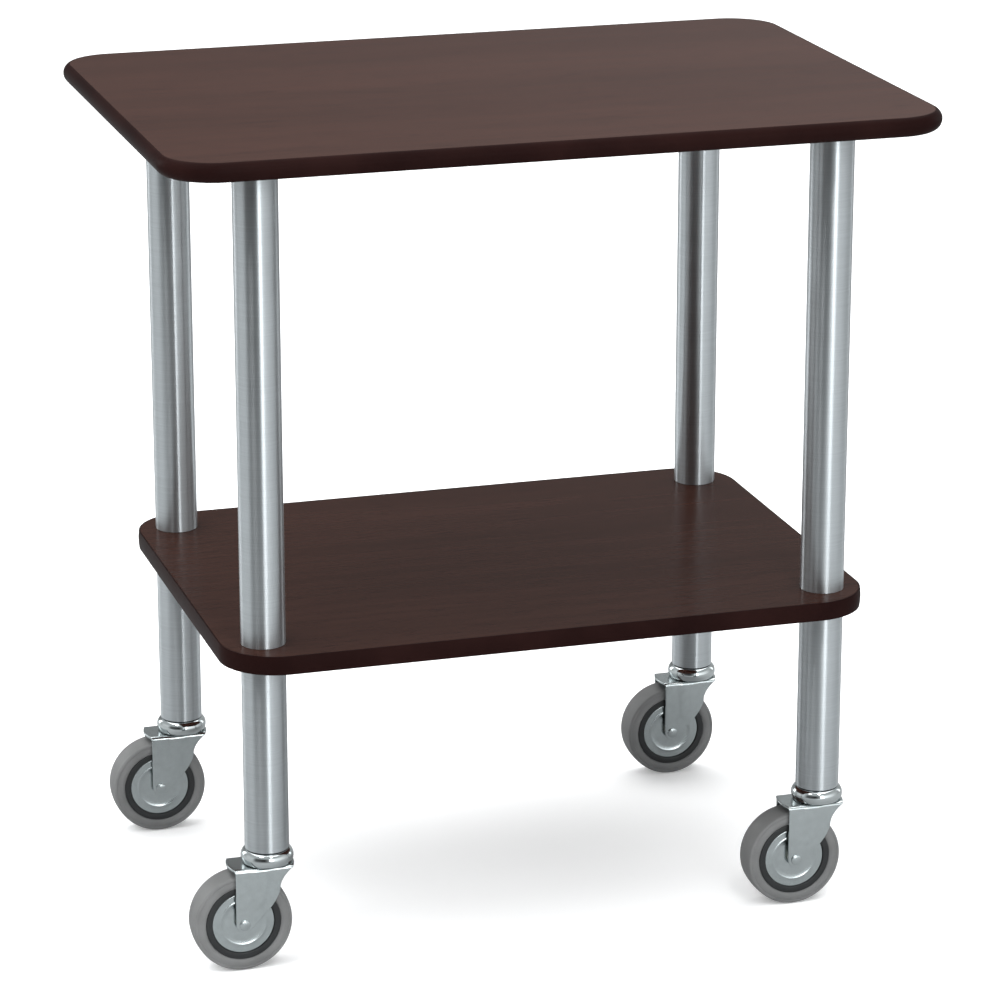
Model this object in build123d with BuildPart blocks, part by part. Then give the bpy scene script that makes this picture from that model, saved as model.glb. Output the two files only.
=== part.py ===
from build123d import *
import os
from math import acos, atan2, cos, degrees, hypot, radians, sin

# Rolling table: two laminated boards with push-in edgings, carried by four chromed tube legs.
# Each leg is cut in two at the shelf and stands on a swivel caster with a rubber-tyred wheel.
# X runs along the long side, Y to the back, Z up. The origin is on the floor below the middle.

# Boards, measured over their edgings
board_thickness = 19.0
top_length = 789.0
top_depth = 554.0
top_corner_radius = 57.0
shelf_corner_radius = 60.0

# Legs, set in from the top's edges, and the shelf's reach past their axes
leg_inset_x = 101.0
leg_inset_y = 82.0
shelf_reach_x = 43.0
shelf_reach_y = 48.5
tube_diameter = 44.45
tube_wall = 1.5
tube_end_break = 0.4
upper_tube_length = 482.0
lower_tube_length = 196.0

# Edgings: a face strip with a barbed tongue pushed into a groove in the board
top_edging_lip = 1.0
top_edging_crown = 6.0
shelf_edging_lip = 1.4
shelf_edging_crown = 0.8
tongue_thickness = 2.2
tongue_depth = 9.0
barb_height = 0.4
barb_length = 2.0
groove_thickness = 3.2
groove_clearance = 1.0

# Fixings inside the legs
seat_clearance = 0.05
plug_length = 24.0
plug_relief_depth = 1.2
plug_relief_length = 8.0
stud_diameter = 10.0
stud_end_break = 1.0
top_stud_length = 34.0
insert_nut_diameter = 16.0
insert_nut_length = 13.0
insert_nut_bottom_gap = 1.5
shelf_hole_clearance = 0.5
shelf_stud_grip = 20.0
socket_length = 46.0
socket_flange_thickness = 0.8
socket_flange_step = 0.8
socket_neck_length = 34.0
socket_pocket_step = 1.4

# Caster bearing, from the tube end down to the fork
cap_height = 13.9
cap_radius = 26.5
cap_top_radius = 20.5
cap_lip_radius = 25.0
cap_bulge_drop = 8.0
cap_skirt_width = 1.7
cap_skirt_depth = 3.4
cap_lip_gap = 1.0
ball_diameter = 6.0
ball_count = 10
ball_pitch_radius = 14.8
ball_rise = 3.4
ball_seat_clearance = 0.05
running_gap = 0.3
race_ring_inner_radius = 11.2
race_ring_outer_radius = 18.4
race_ring_height = 2.5
stem_radius = 5.55
stem_length = 40.0
stem_tip_taper = 1.2
stem_groove_width = 2.2
stem_groove_depth = 1.2
stem_groove_drop = 2.4
grip_ring_wall = 1.5
grip_ring_gap_angle = 40.0
king_pin_radius = 6.0
king_pin_shoulder_radius = 9.0
king_pin_head_radius = 8.0
king_pin_head_height = 2.6
washer_radius = 11.0
washer_thickness = 2.5

# Fork
fork_rise = 59.0
fork_inner_width = 34.0
fork_sheet = 2.5
fork_bend_radius = 3.6
fork_inside_bend_radius = 1.2
fork_tab_radius = 8.5
fork_nose_reach = 50.0
fork_rear_bow = 4.5
fork_front_bow = 5.0
fork_swage_height = 0.5
fork_swage_taper = 40.0
caster_trail = 28.5
leg_heel_shares = (0.515, 0.246)
leg_shin_shares = (0.650, 0.398)
leg_knee_shares = (0.743, 0.593)
leg_flare_shares = (0.832, 0.810)
swage_shares = [(0.16, 0.935), (0.58, 0.935), (0.46, 0.42), (0.30, 0.26), (0.16, 0.26)]

# Wheel
wheel_diameter = 101.6
tyre_width = 30.0
tyre_bead_inset = 1.4
tyre_bead_height = 3.0
tyre_shoulder = 2.4
tyre_crown_drop = 0.7
rim_radius = 38.3
rim_width = 28.8
rim_inner_radius = 30.4
rim_ridge_height = 2.0
rim_ridge_width = 11.0
web_thickness = 8.0
hub_radius = 12.0
bushing_radius = 6.0
bushing_end_gap = 0.3
axle_radius = 4.0
axle_running_clearance = 0.05
axle_head_radius = 5.4
axle_head_height = 2.0
disc_radius = 32.0
disc_sheet = 1.0
disc_recess = 1.2
disc_dish_depth = 0.4
disc_dish_radius = 20.2
disc_bead_radius = 22.8
disc_bead_height = 0.8
disc_flat_radius = 25.4
disc_rim_turn = 1.2
disc_hole_clearance = 0.3

# Worked-out places, levels and radii
leg_spacing_x = top_length - 2 * leg_inset_x
leg_spacing_y = top_depth - 2 * leg_inset_y
shelf_length = leg_spacing_x + 2 * shelf_reach_x
shelf_depth = leg_spacing_y + 2 * shelf_reach_y
tube_radius = tube_diameter / 2
tube_bore_radius = tube_radius - tube_wall
stud_radius = stud_diameter / 2
stud_bore_radius = stud_radius + seat_clearance
socket_bore_radius = stem_radius + seat_clearance
socket_pocket_radius = socket_bore_radius + socket_pocket_step
wheel_radius = wheel_diameter / 2
fork_top = wheel_radius + fork_rise
fork_plate_bottom = fork_top - fork_sheet
fork_inner_half = fork_inner_width / 2
fork_outer_half = fork_inner_half + fork_sheet
cap_lip = fork_top + cap_lip_gap
cap_top = cap_lip + cap_height
cap_underside = cap_lip + cap_skirt_depth
caster_height = cap_top + socket_flange_thickness
shelf_bottom = caster_height + lower_tube_length
shelf_top = shelf_bottom + board_thickness
top_bottom = shelf_top + upper_tube_length
ball_radius = ball_diameter / 2
ball_level = fork_top + ball_rise
pin_hole_radius = king_pin_radius + running_gap
axle_bore_radius = axle_radius + axle_running_clearance
disc_face = rim_width / 2 - disc_recess
disc_rebate = disc_face - disc_rim_turn
disc_dish_face = disc_face - disc_dish_depth
hub_half = disc_dish_face - disc_sheet - seat_clearance

# Every leg stands at one corner of a rectangle centred on the origin
legs = {
    "front_left": (-leg_spacing_x / 2, -leg_spacing_y / 2),
    "front_right": (leg_spacing_x / 2, -leg_spacing_y / 2),
    "rear_left": (-leg_spacing_x / 2, leg_spacing_y / 2),
    "rear_right": (leg_spacing_x / 2, leg_spacing_y / 2),
}
leg_places = list(legs.values())


def upright(x, y, z=0.0):
    """The plane through a point that stands along the table's length, its own Y up."""
    return Plane(origin=(x, y, z), x_dir=(1, 0, 0), z_dir=(0, -1, 0))


def through_hub(x, y):
    """The plane across a wheel through its centre, its own X along the axle and its own Y up."""
    return Plane(origin=(x - caster_trail, y, wheel_radius), x_dir=(0, 1, 0), z_dir=(1, 0, 0))


def swivel_axis(x, y):
    """The upright axis that a caster turns about."""
    return Axis((x, y, 0), (0, 0, 1))


def wheel_axis(x, y):
    """The level axis that a wheel turns about."""
    return Axis((x - caster_trail, y, wheel_radius), (0, 1, 0))


def board(bottom, length, depth, corner, thickness, strip):
    """A board cut back by the thickness of its edging strip, with a groove round its edge."""
    groove_depth = tongue_depth + groove_clearance
    with BuildPart() as made:
        with BuildSketch(Plane.XY.offset(bottom)):
            RectangleRounded(length - 2 * strip, depth - 2 * strip, corner - strip)
        extrude(amount=thickness)
        with BuildSketch(Plane.XY.offset(bottom + (thickness - groove_thickness) / 2)):
            RectangleRounded(length - 2 * strip, depth - 2 * strip, corner - strip)
            inner = strip + groove_depth
            RectangleRounded(
                length - 2 * inner, depth - 2 * inner, corner - inner, mode=Mode.SUBTRACT
            )
        extrude(amount=groove_thickness, mode=Mode.SUBTRACT)
    return made


def edging(bottom, length, depth, corner, thickness, lip, crown):
    """One strip run round the whole board: a crowned face, and a tongue with barbs behind it."""
    strip = lip + crown
    half_x = length / 2 - strip
    half_y = depth / 2 - strip
    middle = bottom + thickness / 2
    edge = thickness / 2
    root = tongue_thickness / 2
    barb = root + barb_height
    with BuildPart() as made:
        with BuildLine(Plane.XY.offset(middle)) as run:
            for side in (1, -1):
                FilletPolyline(
                    (side * half_x, 0),
                    (side * half_x, side * half_y),
                    (-side * half_x, side * half_y),
                    (-side * half_x, 0),
                    radius=corner - strip,
                )
        with BuildSketch(upright(half_x, 0, middle)):
            with BuildLine():
                Polyline((0, edge), (lip, edge))
                ThreePointArc((lip, edge), (strip, 0), (lip, -edge))
                Polyline((lip, -edge), (0, -edge), (0, -root))
                Polyline(
                    (0, -root),
                    (-tongue_depth + 2 * barb_length, -root),
                    (-tongue_depth + 2 * barb_length, -barb),
                    (-tongue_depth + barb_length, -root),
                    (-tongue_depth, -root),
                    (-tongue_depth, root),
                    (-tongue_depth + barb_length, root),
                    (-tongue_depth + 2 * barb_length, barb),
                    (-tongue_depth + 2 * barb_length, root),
                    (0, root),
                    (0, edge),
                )
            make_face()
        sweep(path=run.wires()[0])
    return made


def tube(x, y, bottom, length):
    """A drawn tube cut square, with its outer edges broken."""
    with BuildPart() as made:
        with BuildSketch(Plane.XY.offset(bottom)):
            with Locations((x, y)):
                Circle(tube_radius)
                Circle(tube_bore_radius, mode=Mode.SUBTRACT)
        extrude(amount=length)
        rims = made.edges().filter_by(GeomType.CIRCLE).sort_by(SortBy.RADIUS)[-2:]
        chamfer(rims, length=tube_end_break)
    return made


def plugs(levels):
    """Turned plugs pressed into the tube ends, tapped through, with a relief for the crimp."""
    outer = tube_bore_radius - seat_clearance
    with BuildPart() as made:
        for level in levels:
            with BuildSketch(Plane.XY.offset(level)):
                with Locations(*leg_places):
                    Circle(outer)
                    Circle(stud_bore_radius, mode=Mode.SUBTRACT)
            extrude(amount=plug_length)
            with BuildSketch(Plane.XY.offset(level + (plug_length - plug_relief_length) / 2)):
                with Locations(*leg_places):
                    Circle(outer)
                    Circle(outer - plug_relief_depth, mode=Mode.SUBTRACT)
            extrude(amount=plug_relief_length, mode=Mode.SUBTRACT)
    return made


def studs(bottom, length):
    """Threaded studs with chamfered ends, one on each leg's axis."""
    with BuildPart() as made:
        with BuildSketch(Plane.XY.offset(bottom)):
            with Locations(*leg_places):
                Circle(stud_radius)
        extrude(amount=length)
        chamfer(made.edges().filter_by(GeomType.CIRCLE), length=stud_end_break)
    return made


def grip_rings():
    """Split spring rings round the stems' necks, which hold the casters up in their sockets."""
    level = caster_height + stem_length - stem_groove_drop - stem_groove_width
    inner = stem_radius - stem_groove_depth + seat_clearance
    cut_half_width = (inner + grip_ring_wall) * sin(radians(grip_ring_gap_angle / 2))
    with BuildPart() as made:
        with BuildSketch(Plane.XY.offset(level + seat_clearance)):
            with Locations(*leg_places):
                Circle(inner + grip_ring_wall)
                Circle(inner, mode=Mode.SUBTRACT)
                Rectangle(
                    tube_diameter / 2,
                    2 * cut_half_width,
                    align=(Align.MIN, Align.CENTER),
                    mode=Mode.SUBTRACT,
                )
        extrude(amount=stem_groove_width - 2 * seat_clearance)
    return made


def stem_sockets():
    """Moulded sleeves in the lower tube ends: a thin flange, a neck and a wider pocket."""
    pocket_level = caster_height + socket_neck_length
    with BuildPart() as made:
        with BuildSketch(Plane.XY.offset(caster_height)):
            with Locations(*leg_places):
                Circle(tube_bore_radius - seat_clearance)
        extrude(amount=socket_length)
        with BuildSketch(Plane.XY.offset(cap_top)):
            with Locations(*leg_places):
                Circle(tube_radius - socket_flange_step)
        extrude(amount=socket_flange_thickness)
        with BuildSketch(Plane.XY.offset(cap_top)):
            with Locations(*leg_places):
                Circle(socket_bore_radius)
        extrude(amount=socket_flange_thickness + socket_length, mode=Mode.SUBTRACT)
        with BuildSketch(Plane.XY.offset(pocket_level)):
            with Locations(*leg_places):
                Circle(socket_pocket_radius)
        extrude(amount=socket_length - socket_neck_length, mode=Mode.SUBTRACT)
    return made


def stem(x, y):
    """The pin that a caster hangs on, from its grooved tip down to the peened head."""
    tip = caster_height + stem_length
    groove_top = tip - stem_groove_drop
    groove_bottom = groove_top - stem_groove_width
    neck = stem_radius - stem_groove_depth
    shoulder_top = cap_underside - seat_clearance
    shoulder_bottom = fork_top + running_gap
    washer_bottom = fork_plate_bottom - running_gap - washer_thickness - seat_clearance
    head_bottom = washer_bottom - king_pin_head_height
    with BuildPart() as made:
        with BuildSketch(upright(x, y)):
            with BuildLine():
                Polyline(
                    (0, head_bottom),
                    (king_pin_head_radius - king_pin_head_height / 2, head_bottom),
                    (king_pin_head_radius, head_bottom + king_pin_head_height / 2),
                    (king_pin_head_radius, washer_bottom),
                    (king_pin_radius, washer_bottom),
                    (king_pin_radius, shoulder_bottom),
                    (king_pin_shoulder_radius, shoulder_bottom),
                    (king_pin_shoulder_radius, shoulder_top),
                    (stem_radius, shoulder_top),
                    (stem_radius, groove_bottom),
                    (neck, groove_bottom),
                    (neck, groove_top),
                    (neck + (stem_groove_depth - stem_tip_taper / 2), groove_top),
                    (stem_radius - stem_tip_taper, tip),
                    (0, tip),
                    close=True,
                )
            make_face()
        revolve(axis=swivel_axis(x, y))
    return made


def raceway_cap(x, y):
    """The domed upper raceway, with a skirt over the balls and their track cut in its underside."""
    bulge_level = cap_top - cap_bulge_drop
    skirt_inner = cap_lip_radius - cap_skirt_width
    upper_mid = (
        cap_top_radius + (cap_radius - cap_top_radius) * sin(radians(45)),
        bulge_level + cap_bulge_drop * cos(radians(45)),
    )
    lower_mid = (
        (cap_radius + cap_lip_radius) / 2 + (cap_radius - cap_lip_radius) / 4,
        (bulge_level + cap_lip) / 2,
    )
    with BuildPart() as made:
        with BuildSketch(upright(x, y)):
            with BuildLine():
                Line((socket_bore_radius, cap_top), (cap_top_radius, cap_top))
                ThreePointArc((cap_top_radius, cap_top), upper_mid, (cap_radius, bulge_level))
                ThreePointArc((cap_radius, bulge_level), lower_mid, (cap_lip_radius, cap_lip))
                Polyline(
                    (cap_lip_radius, cap_lip),
                    (skirt_inner, cap_lip),
                    (skirt_inner, cap_underside),
                    (socket_bore_radius, cap_underside),
                    (socket_bore_radius, cap_top),
                )
            make_face()
        revolve(axis=swivel_axis(x, y))
        with BuildSketch(upright(x, y)):
            with Locations((ball_pitch_radius, ball_level)):
                Circle(ball_radius + running_gap)
        revolve(axis=swivel_axis(x, y), mode=Mode.SUBTRACT)
    return made


def bearing_balls(x, y):
    """The ring of balls that the raceway cap turns on."""
    with BuildPart() as made:
        with Locations((x, y, ball_level)):
            with PolarLocations(ball_pitch_radius, ball_count):
                Sphere(ball_radius)
    return made


def retaining_washer(x, y):
    """The washer that keeps the fork on the king pin from below."""
    bottom = fork_plate_bottom - running_gap - washer_thickness
    with BuildPart() as made:
        with BuildSketch(Plane.XY.offset(bottom)):
            with Locations((x, y)):
                Circle(washer_radius)
                Circle(king_pin_radius + seat_clearance, mode=Mode.SUBTRACT)
        extrude(amount=washer_thickness)
    return made


def fork_side():
    """The fork's outline from the side, in its own plane with the axle at the origin."""
    heel, shin, knee, flare = (
        (across * fork_nose_reach, up * fork_rise)
        for across, up in (leg_heel_shares, leg_shin_shares, leg_knee_shares, leg_flare_shares)
    )
    under_plate = fork_rise - fork_sheet
    tangent_angle = degrees(atan2(heel[1], heel[0]) - acos(fork_tab_radius / hypot(*heel)))
    low_angle = (tangent_angle - 180) / 2
    tab = [
        (fork_tab_radius * cos(radians(a)), fork_tab_radius * sin(radians(a)))
        for a in (180, low_angle, tangent_angle)
    ]
    Polyline(
        (fork_nose_reach, under_plate),
        (fork_nose_reach + fork_front_bow, under_plate),
        (fork_nose_reach + fork_front_bow, fork_rise),
        (-fork_tab_radius - fork_rear_bow, fork_rise),
        (-fork_tab_radius - fork_rear_bow, under_plate),
        (-fork_tab_radius, under_plate),
        tab[0],
    )
    ThreePointArc(*tab)
    Line(tab[2], heel)
    ThreePointArc(heel, shin, knee)
    ThreePointArc(knee, flare, (fork_nose_reach, under_plate))


def fork(x, y):
    """A pressed fork: a bowed top plate with a ball seat, and two cut-away legs bent down from it."""
    rear = x - caster_trail - fork_tab_radius
    nose = x - caster_trail + fork_nose_reach
    foot = wheel_radius - fork_tab_radius
    centre_plane = upright(x - caster_trail, y, wheel_radius)
    with BuildPart() as made:
        with BuildSketch(Plane(origin=(rear - fork_rear_bow, y, 0), x_dir=(0, 1, 0), z_dir=(1, 0, 0))):
            with BuildLine():
                FilletPolyline(
                    (-fork_outer_half, foot),
                    (-fork_outer_half, fork_top),
                    (fork_outer_half, fork_top),
                    (fork_outer_half, foot),
                    radius=fork_bend_radius,
                )
                Line((fork_outer_half, foot), (fork_inner_half, foot))
                FilletPolyline(
                    (fork_inner_half, foot),
                    (fork_inner_half, fork_plate_bottom),
                    (-fork_inner_half, fork_plate_bottom),
                    (-fork_inner_half, foot),
                    radius=fork_inside_bend_radius,
                )
                Line((-fork_inner_half, foot), (-fork_outer_half, foot))
            make_face()
        extrude(amount=nose - rear + fork_rear_bow + fork_front_bow)
        with BuildSketch(centre_plane):
            with BuildLine():
                fork_side()
            make_face()
        extrude(amount=fork_outer_half, both=True, mode=Mode.INTERSECT)
        with BuildSketch(Plane(origin=(0, y, foot))):
            with BuildLine():
                ThreePointArc(
                    (rear, -fork_outer_half), (rear - fork_rear_bow, 0), (rear, fork_outer_half)
                )
                Line((rear, fork_outer_half), (nose, fork_outer_half))
                ThreePointArc(
                    (nose, fork_outer_half), (nose + fork_front_bow, 0), (nose, -fork_outer_half)
                )
                Line((nose, -fork_outer_half), (rear, -fork_outer_half))
            make_face()
        extrude(amount=fork_top - foot, mode=Mode.INTERSECT)
        for side in (1, -1):
            with BuildSketch(centre_plane.offset(side * fork_outer_half)):
                with BuildLine():
                    Polyline(
                        *[(across * fork_nose_reach, up * fork_rise) for across, up in swage_shares],
                        close=True,
                    )
                make_face()
            extrude(amount=side * fork_swage_height, taper=fork_swage_taper)
        with BuildSketch(Plane.XY.offset(fork_plate_bottom)):
            with Locations((x, y)):
                Circle(race_ring_outer_radius)
                Circle(race_ring_inner_radius, mode=Mode.SUBTRACT)
        extrude(amount=fork_sheet + race_ring_height)
        with BuildSketch(upright(x, y)):
            with Locations((ball_pitch_radius, ball_level)):
                Circle(ball_radius + ball_seat_clearance)
        revolve(axis=swivel_axis(x, y), mode=Mode.SUBTRACT)
        with Locations((x, y, fork_top)):
            Hole(pin_hole_radius, depth=2 * fork_sheet)
        with BuildSketch(centre_plane):
            Circle(axle_bore_radius)
        extrude(amount=2 * fork_outer_half, both=True, mode=Mode.SUBTRACT)
    return made


def axle(x, y):
    """The riveted axle: a plain shaft with a domed head outside each fork leg."""
    head_face = fork_outer_half + seat_clearance
    crown = head_face + axle_head_height
    dome_radius = (axle_head_radius**2 + axle_head_height**2) / (2 * axle_head_height)
    half_angle = atan2(axle_head_radius, dome_radius - axle_head_height) / 2
    dome_mid = crown - dome_radius * (1 - cos(half_angle))
    dome_out = dome_radius * sin(half_angle)
    with BuildPart() as made:
        with BuildSketch(through_hub(x, y)):
            with BuildLine():
                Polyline((-crown, 0), (crown, 0))
                ThreePointArc((crown, 0), (dome_mid, dome_out), (head_face, axle_head_radius))
                Polyline(
                    (head_face, axle_head_radius),
                    (head_face, axle_radius),
                    (-head_face, axle_radius),
                    (-head_face, axle_head_radius),
                )
                ThreePointArc((-head_face, axle_head_radius), (-dome_mid, dome_out), (-crown, 0))
            make_face()
        revolve(axis=wheel_axis(x, y))
    return made


def bushing(x, y):
    """The plain sleeve in the hub, which turns on the axle between the fork legs."""
    half = fork_inner_half - bushing_end_gap
    with BuildPart() as made:
        with BuildSketch(through_hub(x, y)):
            with BuildLine():
                Polyline(
                    (-half, axle_bore_radius),
                    (half, axle_bore_radius),
                    (half, bushing_radius),
                    (-half, bushing_radius),
                    close=True,
                )
            make_face()
        revolve(axis=wheel_axis(x, y))
    return made


def wheel_core(x, y):
    """The moulded wheel centre: hub, web, and a rim with a ridge for the tyre and disc rebates."""
    bore = bushing_radius + seat_clearance
    ridge = rim_ridge_width / 2
    half_profile = [
        (0, bore),
        (hub_half, bore),
        (hub_half, hub_radius),
        (web_thickness / 2, hub_radius),
        (web_thickness / 2, rim_inner_radius),
        (disc_rebate, rim_inner_radius),
        (disc_rebate, disc_radius + seat_clearance),
        (rim_width / 2, disc_radius + seat_clearance),
        (rim_width / 2, rim_radius),
        (ridge, rim_radius),
        (ridge, rim_radius + rim_ridge_height),
        (0, rim_radius + rim_ridge_height),
    ]
    with BuildPart() as made:
        with BuildSketch(through_hub(x, y)):
            with BuildLine():
                Polyline(*half_profile, close=True)
            make_face()
            mirror(about=Plane.YZ)
        revolve(axis=wheel_axis(x, y))
    return made


def tyre(x, y):
    """The rubber tyre: a crowned tread, rounded shoulders, and a groove over the rim's ridge."""
    half = tyre_width / 2
    seat = rim_radius + seat_clearance
    ridge = rim_ridge_width / 2 + seat_clearance
    ridge_top = seat + rim_ridge_height
    shoulder_top = wheel_radius - tyre_crown_drop
    shoulder_mid = tyre_shoulder * cos(radians(45))
    with BuildPart() as made:
        with BuildSketch(through_hub(x, y)):
            with BuildLine():
                ThreePointArc(
                    (-half + tyre_shoulder, shoulder_top),
                    (0, wheel_radius),
                    (half - tyre_shoulder, shoulder_top),
                )
                ThreePointArc(
                    (half - tyre_shoulder, shoulder_top),
                    (half - tyre_shoulder + shoulder_mid, shoulder_top - tyre_shoulder + shoulder_mid),
                    (half, shoulder_top - tyre_shoulder),
                )
                Polyline(
                    (half, shoulder_top - tyre_shoulder),
                    (half, seat + tyre_bead_height),
                    (half - tyre_bead_inset, seat),
                    (ridge, seat),
                    (ridge, ridge_top),
                    (-ridge, ridge_top),
                    (-ridge, seat),
                    (-half + tyre_bead_inset, seat),
                    (-half, seat + tyre_bead_height),
                    (-half, shoulder_top - tyre_shoulder),
                )
                ThreePointArc(
                    (-half, shoulder_top - tyre_shoulder),
                    (-half + tyre_shoulder - shoulder_mid, shoulder_top - tyre_shoulder + shoulder_mid),
                    (-half + tyre_shoulder, shoulder_top),
                )
            make_face()
        revolve(axis=wheel_axis(x, y))
    return made


def wheel_discs(x, y):
    """Pressed discs that close both sides of a wheel: a dished middle, a bead and a turned rim."""
    inner = bushing_radius + disc_hole_clearance
    face = disc_face
    dish = disc_dish_face
    bead = face + disc_bead_height
    outside = [(inner, dish), (disc_dish_radius, dish)]
    bead_arc = [(disc_dish_radius, dish), (disc_bead_radius, bead), (disc_flat_radius, face)]
    with BuildPart() as made:
        with BuildSketch(through_hub(x, y)):
            with BuildLine():
                Polyline(*[(s, r) for r, s in outside])
                ThreePointArc(*[(s, r) for r, s in bead_arc])
                Polyline(
                    (face, disc_flat_radius),
                    (face, disc_radius - disc_sheet / 2),
                    (face - disc_sheet / 2, disc_radius),
                    (face - disc_rim_turn, disc_radius),
                    (face - disc_rim_turn, disc_radius - disc_sheet),
                    (face - disc_sheet, disc_radius - disc_sheet),
                    (face - disc_sheet, disc_flat_radius),
                )
                ThreePointArc(*[(s - disc_sheet, r) for r, s in reversed(bead_arc)])
                Polyline(
                    (dish - disc_sheet, disc_dish_radius), (dish - disc_sheet, inner), (dish, inner)
                )
            make_face()
            mirror(about=Plane.YZ)
        revolve(axis=wheel_axis(x, y))
    return made


def keep(made, name):
    """Name a finished piece and write it to its own file."""
    made.part.label = name
    export_step(made.part, f"parts/{name}.step")


os.makedirs("parts", exist_ok=True)

top_strip = top_edging_lip + top_edging_crown
shelf_strip = shelf_edging_lip + shelf_edging_crown

with BuildPart() as top_board:
    add(board(top_bottom, top_length, top_depth, top_corner_radius, board_thickness, top_strip).part)
    nut_hole_radius = insert_nut_diameter / 2 + seat_clearance
    nut_hole_depth = insert_nut_length + insert_nut_bottom_gap
    with BuildSketch(Plane.XY.offset(top_bottom)):
        with Locations(*leg_places):
            Circle(nut_hole_radius)
    extrude(amount=nut_hole_depth, mode=Mode.SUBTRACT)
keep(top_board, "top_board")

with BuildPart() as shelf_board:
    add(
        board(
            shelf_bottom, shelf_length, shelf_depth, shelf_corner_radius, board_thickness, shelf_strip
        ).part
    )
    with BuildSketch(Plane.XY.offset(shelf_bottom)):
        with Locations(*leg_places):
            Circle(stud_radius + shelf_hole_clearance)
    extrude(amount=board_thickness, mode=Mode.SUBTRACT)
keep(shelf_board, "shelf_board")

keep(
    edging(
        top_bottom,
        top_length,
        top_depth,
        top_corner_radius,
        board_thickness,
        top_edging_lip,
        top_edging_crown,
    ),
    "top_edging",
)
keep(
    edging(
        shelf_bottom,
        shelf_length,
        shelf_depth,
        shelf_corner_radius,
        board_thickness,
        shelf_edging_lip,
        shelf_edging_crown,
    ),
    "shelf_edging",
)

with BuildPart() as insert_nuts:
    with BuildSketch(Plane.XY.offset(top_bottom)):
        with Locations(*leg_places):
            Circle(insert_nut_diameter / 2)
            Circle(stud_bore_radius, mode=Mode.SUBTRACT)
    extrude(amount=insert_nut_length)
keep(insert_nuts, "insert_nuts")

keep(plugs([top_bottom - plug_length]), "top_tube_plugs")
keep(plugs([shelf_bottom - plug_length, shelf_top]), "shelf_tube_plugs")
top_stud_top = top_bottom + insert_nut_length
keep(studs(top_stud_top - top_stud_length, top_stud_length), "top_studs")
shelf_stud_bottom = shelf_bottom - shelf_stud_grip
keep(studs(shelf_stud_bottom, board_thickness + 2 * shelf_stud_grip), "shelf_studs")
keep(stem_sockets(), "stem_sockets")
keep(grip_rings(), "stem_grip_rings")

caster_pieces = {
    "caster_stem": stem,
    "raceway_cap": raceway_cap,
    "bearing_balls": bearing_balls,
    "retaining_washer": retaining_washer,
    "fork": fork,
    "axle": axle,
    "bushing": bushing,
    "wheel_core": wheel_core,
    "tyre": tyre,
    "wheel_discs": wheel_discs,
}
for corner, (leg_x, leg_y) in legs.items():
    keep(tube(leg_x, leg_y, shelf_top, upper_tube_length), f"upper_tube_{corner}")
    keep(tube(leg_x, leg_y, caster_height, lower_tube_length), f"lower_tube_{corner}")
    for piece_name, make in caster_pieces.items():
        keep(make(leg_x, leg_y), f"{piece_name}_{corner}")
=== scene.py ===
import math
import bpy
import bmesh
import numpy as np
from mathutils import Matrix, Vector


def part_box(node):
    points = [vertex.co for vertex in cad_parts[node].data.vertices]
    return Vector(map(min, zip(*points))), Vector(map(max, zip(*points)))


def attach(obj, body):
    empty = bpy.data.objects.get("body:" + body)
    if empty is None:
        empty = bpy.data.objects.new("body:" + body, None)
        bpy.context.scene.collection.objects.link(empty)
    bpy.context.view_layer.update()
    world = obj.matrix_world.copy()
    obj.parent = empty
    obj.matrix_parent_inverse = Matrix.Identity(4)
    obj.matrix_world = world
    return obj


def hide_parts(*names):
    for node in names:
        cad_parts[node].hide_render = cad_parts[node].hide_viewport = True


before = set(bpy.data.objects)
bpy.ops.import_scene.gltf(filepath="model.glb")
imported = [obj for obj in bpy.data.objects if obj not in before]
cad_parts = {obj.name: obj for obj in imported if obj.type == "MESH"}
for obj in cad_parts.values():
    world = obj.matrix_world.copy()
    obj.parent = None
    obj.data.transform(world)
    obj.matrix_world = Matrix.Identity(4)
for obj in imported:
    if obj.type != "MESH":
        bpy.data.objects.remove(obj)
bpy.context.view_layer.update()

# The studio: the camera stands in front and to the left, a little above the top,
# and looks down with a long lens. The floor is a plain pale sheet without an edge in view,
# lit from overhead softboxes so that the shadows under the table stay faint.
camera = bpy.data.objects.new("camera", bpy.data.cameras.new("camera"))
bpy.context.scene.collection.objects.link(camera)
camera.data.lens = 146.9
camera.data.sensor_width = 36.0
camera.data.clip_end = 80.0
camera.location = (-1.1706, -3.8837, 1.6753)
camera.rotation_euler = (math.radians(90 - 17.429), 0.0, math.radians(-16.895))
bpy.context.scene.camera = camera
bpy.context.scene.view_settings.view_transform = "Standard"


def new_finish(name, colour, roughness, metallic=0.0):
    """A material with its own shader set to plain values; returns its nodes, links and shader."""
    finish = bpy.data.materials.new(name)
    finish.use_nodes = True
    nodes = finish.node_tree.nodes
    shader = nodes["Principled BSDF"]
    shader.inputs["Base Color"].default_value = (*colour, 1.0)
    shader.inputs["Roughness"].default_value = roughness
    shader.inputs["Metallic"].default_value = metallic
    return finish, nodes, finish.node_tree.links, shader


def sheet_grid(half_x, half_y, rows):
    """A flat sheet: x and y run evenly over the two parameters, z is zero."""
    across = np.linspace(-half_x, half_x, rows)
    along = np.linspace(-half_y, half_y, rows)
    x, y = np.meshgrid(across, along)
    return np.stack([x, y, np.zeros_like(x)], axis=-1)


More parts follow.
